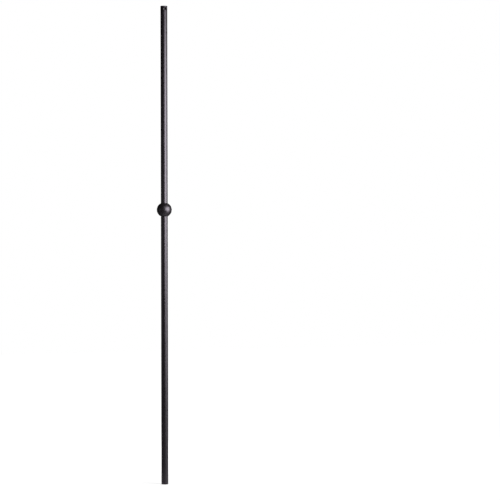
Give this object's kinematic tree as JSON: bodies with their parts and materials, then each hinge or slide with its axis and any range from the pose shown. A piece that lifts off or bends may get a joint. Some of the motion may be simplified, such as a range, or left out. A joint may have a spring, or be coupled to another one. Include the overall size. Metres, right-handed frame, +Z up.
{
  "type": "sphere baluster",
  "caption": "Straight round hollow stair baluster in satin black powder coat, with a bored steel sphere seated on the tube a little above its middle.",
  "frame": {"origin": "centre of the tube's foot, on the face that meets the tread", "axes": "+Z runs up the baluster along the tube's axis, and -Y is the front, one of the two sides that the hanging hole opens on"},
  "size_m": [0.035, 0.035, 1.1176],
  "materials": {
    "black_powder_coat": "satin"
  },
  "bodies": {
    "root": {"tube": "black_powder_coat", "ball": "black_powder_coat"}
  },
  "joints": []
}
